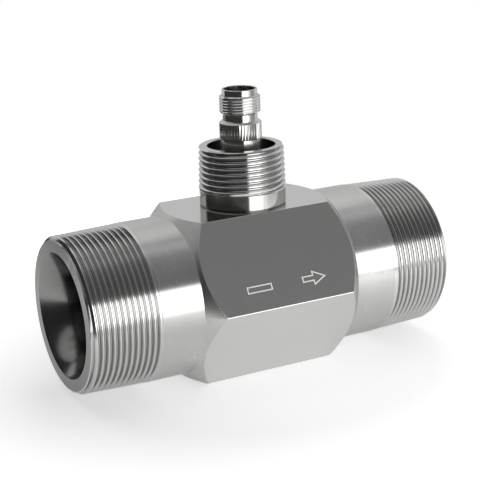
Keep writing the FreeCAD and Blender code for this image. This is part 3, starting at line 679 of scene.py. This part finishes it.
copies = {       # piece: node, body, slot, finish and width of its edge breaks
    "inletSupport": ("inlet_support", "housing", "support_steel", groundSteel, 0.15 * mm),
    "outletSupport": ("outlet_support", "housing", "support_steel", groundSteel, 0.15 * mm),
    "inletNoseCone": ("inlet_nose_cone", "housing", "support_steel", groundSteel, 0),
    "outletTailCone": ("outlet_tail_cone", "housing", "support_steel", groundSteel, 0),
    "inletRetainingRing": ("inlet_retaining_ring", "housing", "spring_steel", springSteel, 0.1 * mm),
    "outletRetainingRing": ("outlet_retaining_ring", "housing", "spring_steel", springSteel, 0.1 * mm),
    "rotorWheel": ("rotor_wheel", "rotor", "rotor_steel", rotorSteel, 0.08 * mm),
    "pickupLockNut": ("pickup_lock_nut", "housing", "pickup_steel", groundSteel, 0.15 * mm),
    "connectorInsert": ("connector_insert", "housing", "insulator", phenolic, 0.1 * mm),
    "connectorContacts": ("connector_contacts", "housing", "contact_plating", goldPlate, 0),
}
for name, values in copies.items():
    brokenEdgeCopy(name, *values, copySizes)
print("copies made")


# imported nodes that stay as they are, with their finishes
kept = {
    "inlet_rotor_bushing": carbide, "outlet_rotor_bushing": carbide, "inlet_thrust_washer": carbide,
    "outlet_thrust_washer": carbide, "rotor_shaft": carbide, "pole_piece": ironGrey,
    "pickup_magnet": ironGrey, "coil_bobbin": nylon, "pickup_coil": copperWire, "coil_leads": copperWire,
    "pickup_potting": epoxy,
}
for nodeName, material in kept.items():
    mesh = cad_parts[nodeName].data
    mesh.materials.clear()
    mesh.materials.append(material)
print("kept nodes dressed")


# stage: floor, room, lamps, dark flags and camera, in metres and degrees

floorSizes = {
    "radius": 0.26, "corners": 128, "colour": "#E8E8E8", "fadeFrom": 0.075, "fadeTo": 0.17, "nearGlow": 0.48,
}


def makeFloor(size):
    # a pale round table top that shows white to the camera and in the metal, and keeps the soft shadow. Its
    # glow rises from nearGlow to 1 between two distances from the middle, so it runs into the white room
    angles = np.linspace(0, tau, size["corners"] + 1)[:-1]
    radius = size["radius"]
    points = np.stack([radius * np.sin(angles), radius * np.cos(angles), np.zeros_like(angles)], axis=-1)
    mesh = bpy.data.meshes.new("floor")
    mesh.from_pydata(points.tolist(), [], [list(range(size["corners"]))])
    mesh.flip_normals()
    floor = placeMesh("floor", mesh)
    material, tree = newMaterial("paleTable")
    ray = addNode(tree, "ShaderNodeLightPath")
    seen = addNode(tree, "ShaderNodeMath", {"operation": "MAXIMUM"}, i0=ray.outputs["Is Camera Ray"],
                   i1=ray.outputs["Is Glossy Ray"])
    seen = addNode(tree, "ShaderNodeMath", {"operation": "MAXIMUM"}, i0=seen.outputs[0],
                   i1=ray.outputs["Is Transmission Ray"])
    spot = addNode(tree, "ShaderNodeTexCoord")
    away = addNode(tree, "ShaderNodeVectorMath", {"operation": "LENGTH"}, i0=spot.outputs["Object"])
    fade = addNode(tree, "ShaderNodeMapRange", None, Value=away.outputs["Value"], From_Min=size["fadeFrom"],
                   From_Max=size["fadeTo"], To_Min=size["nearGlow"], To_Max=1.0)
    glow = addNode(tree, "ShaderNodeMath", {"operation": "MULTIPLY"}, i0=seen.outputs[0], i1=fade.outputs[0])
    matt = addNode(tree, "ShaderNodeBsdfPrincipled", None, Base_Color=linear(size["colour"]), Roughness=1.0,
                   Specular_IOR_Level=0.0, Emission_Color=white, Emission_Strength=glow.outputs[0])
    addNode(tree, "ShaderNodeOutputMaterial", None, Surface=matt.outputs[0])
    mesh.materials.append(material)


def makeWorld():
    # an even white room
    world = bpy.data.worlds.new("whiteRoom")
    scene.world = world
    world.use_nodes = True
    world.node_tree.nodes.clear()
    room = addNode(world.node_tree, "ShaderNodeBackground", None, Color=white, Strength=1.0)
    addNode(world.node_tree, "ShaderNodeOutputWorld", None, Surface=room.outputs[0])


lampDistance = 0.95
softboxes = {       # lowest and highest corner as (x, z), and radiance
    "longSoftbox": ((-0.18, -0.04), (1.0, 0.485), 2.9),
    "lowSoftbox": ((-0.18, -0.38), (0.46, -0.045), 2.3),
}


def addSoftbox(name, low, high, radiance):
    # a rectangular lamp parallel to the meter, in front of it, seen by the metal and not by the camera.
    # Its power is radiance * pi * area
    lamp = bpy.data.lights.new(name, "AREA")
    lamp.shape = "RECTANGLE"
    lamp.size, lamp.size_y = high[0] - low[0], high[1] - low[1]
    lamp.energy = radiance * math.pi * lamp.size * lamp.size_y
    box = bpy.data.objects.new(name, lamp)
    box.location = ((low[0] + high[0]) / 2, -lampDistance, (low[1] + high[1]) / 2)
    box.rotation_euler = (math.radians(90), 0, 0)
    box.visible_camera = False
    scene.collection.objects.link(box)


def addFlag(name, grid, tones, onTable=False):
    # a dark studio flag that the camera doesn't see; its tones are spread evenly over the grid's rows.
    # One that lies on the table is seen by the metal alone, so that the table under it keeps its light
    mesh = bpy.data.meshes.new(name)
    rows, columns = grid.shape[:2]
    quads = gridFaces(np.arange(rows * columns).reshape(rows, columns))
    mesh.from_pydata(grid.reshape(-1, 3).tolist(), [], quads.tolist())
    shade = mesh.attributes.new("tone", "FLOAT", "POINT")
    rowTones = np.interp(np.linspace(0, 1, rows), np.linspace(0, 1, len(tones)), tones)
    shade.data.foreach_set("value", np.repeat(rowTones, columns))
    material, tree = newMaterial(name)
    value = addNode(tree, "ShaderNodeAttribute", {"attribute_name": "tone"})
    cloth = addNode(tree, "ShaderNodeEmission", None, Color=white, Strength=value.outputs["Fac"])
    addNode(tree, "ShaderNodeOutputMaterial", None, Surface=cloth.outputs[0])
    mesh.materials.append(material)
    flag = placeMesh(name, mesh)
    flag.visible_camera = False
    flag.visible_diffuse = flag.visible_shadow = not onTable


def roundPanel(turns, reach, radius=1.3, rows=45, columns=9):
    # part of a tube about the flow axis: the angle runs from straight up towards the front
    angles = np.radians(np.linspace(turns[0], turns[1], rows))[:, None]
    along = np.linspace(reach[0], reach[1], columns)[None, :]
    return circlePoints("x", along, radius, angles)


def skyPanel(azimuths, heights, radius=1.2, rows=17):
    # part of a ball round the meter: x = r cos(height) sin(azimuth), y = -r cos(height) cos(azimuth),
    # z = bore height + r sin(height)
    height = np.radians(np.linspace(heights[0], heights[1], rows))[:, None]
    turn = np.radians(np.linspace(azimuths[0], azimuths[1], rows))[None, :]
    return np.stack([radius * np.cos(height) * np.sin(turn), -radius * np.cos(height) * np.cos(turn),
                     boreHeight + radius * np.sin(height) * np.ones_like(turn)], axis=-1)


def wallPanel(azimuths, heights, radius=0.21, rows=17, columns=68):
    # part of an upright drum that stands round the meter
    height = np.linspace(heights[0], heights[1], rows)[:, None]
    turn = np.radians(np.linspace(azimuths[0], azimuths[1], columns))[None, :]
    return circlePoints("z", height, radius, turn)


def tablePanel(azimuths, reaches, lift=0.4 * mm, rows=9, columns=54):
    # part of a flat ring that lies on the table
    reach = np.linspace(reaches[0], reaches[1], rows)[:, None]
    turn = np.radians(np.linspace(azimuths[0], azimuths[1], columns))[None, :]
    return circlePoints("z", lift, reach, turn)


flags = {       # panel, then its tones along its rows
    "ceilingFlag": (roundPanel((-26.5, 63), (-1.6, 1.6)),
                    [0.98, 0.88, 0.54, 0.66, 0.6, 0.35, 0.3, 0.27, 0.25, 0.235, 0.22, 0.22]),
    "leftFlag": (wallPanel((-140, -11), (0.0, 0.19)), [0.05, 0.05]),
    "backLeftFlag": (wallPanel((-176, -140), (0.014, 0.06)), [0.05, 0.05]),
    "leftTopFlag": (skyPanel((-150, -25), (20, 62)), [0.06, 0.3, 0.55, 0.75]),
    "backTopFlag": (skyPanel((-195, -155), (42, 72)), [0.15, 0.3]),
    "rightFlag": (skyPanel((40, 85), (-32, -3)), [0.42, 0.42]),
    "tableCard": (tablePanel((-100, -11), (0.165, 0.21)), [0.2, 0.05], True),
}
cameraSizes = {
    "place": (-0.22862, -0.43145, 0.19303), "target": (-0.00181, 0, 0.048325), "lens": 97.74, "sensor": 36,
    "roll": -1.891, "nearest": 0.01, "farthest": 20,
}


def makeCamera(size):
    # looks from its place to its target, turned by the roll about that line
    camera = bpy.data.cameras.new("camera")
    camera.lens, camera.sensor_width = size["lens"], size["sensor"]
    camera.clip_start, camera.clip_end = size["nearest"], size["farthest"]
    holder = bpy.data.objects.new("camera", camera)
    place = Vector(size["place"])
    back = (place - Vector(size["target"])).normalized()
    side = Vector((0, 0, 1)).cross(back).normalized()
    top = back.cross(side)
    roll = math.radians(size["roll"])
    right = math.cos(roll) * side + math.sin(roll) * top
    up = -math.sin(roll) * side + math.cos(roll) * top
    turn = Matrix((right, up, back)).transposed().to_4x4()
    holder.matrix_world = Matrix.Translation(place) @ turn
    scene.collection.objects.link(holder)
    scene.camera = holder


makeFloor(floorSizes)
makeWorld()
for name, values in softboxes.items():
    addSoftbox(name, *values)
for name, values in flags.items():
    addFlag(name, *values)
makeCamera(cameraSizes)
scene.view_settings.view_transform = "Standard"
print("stage made")
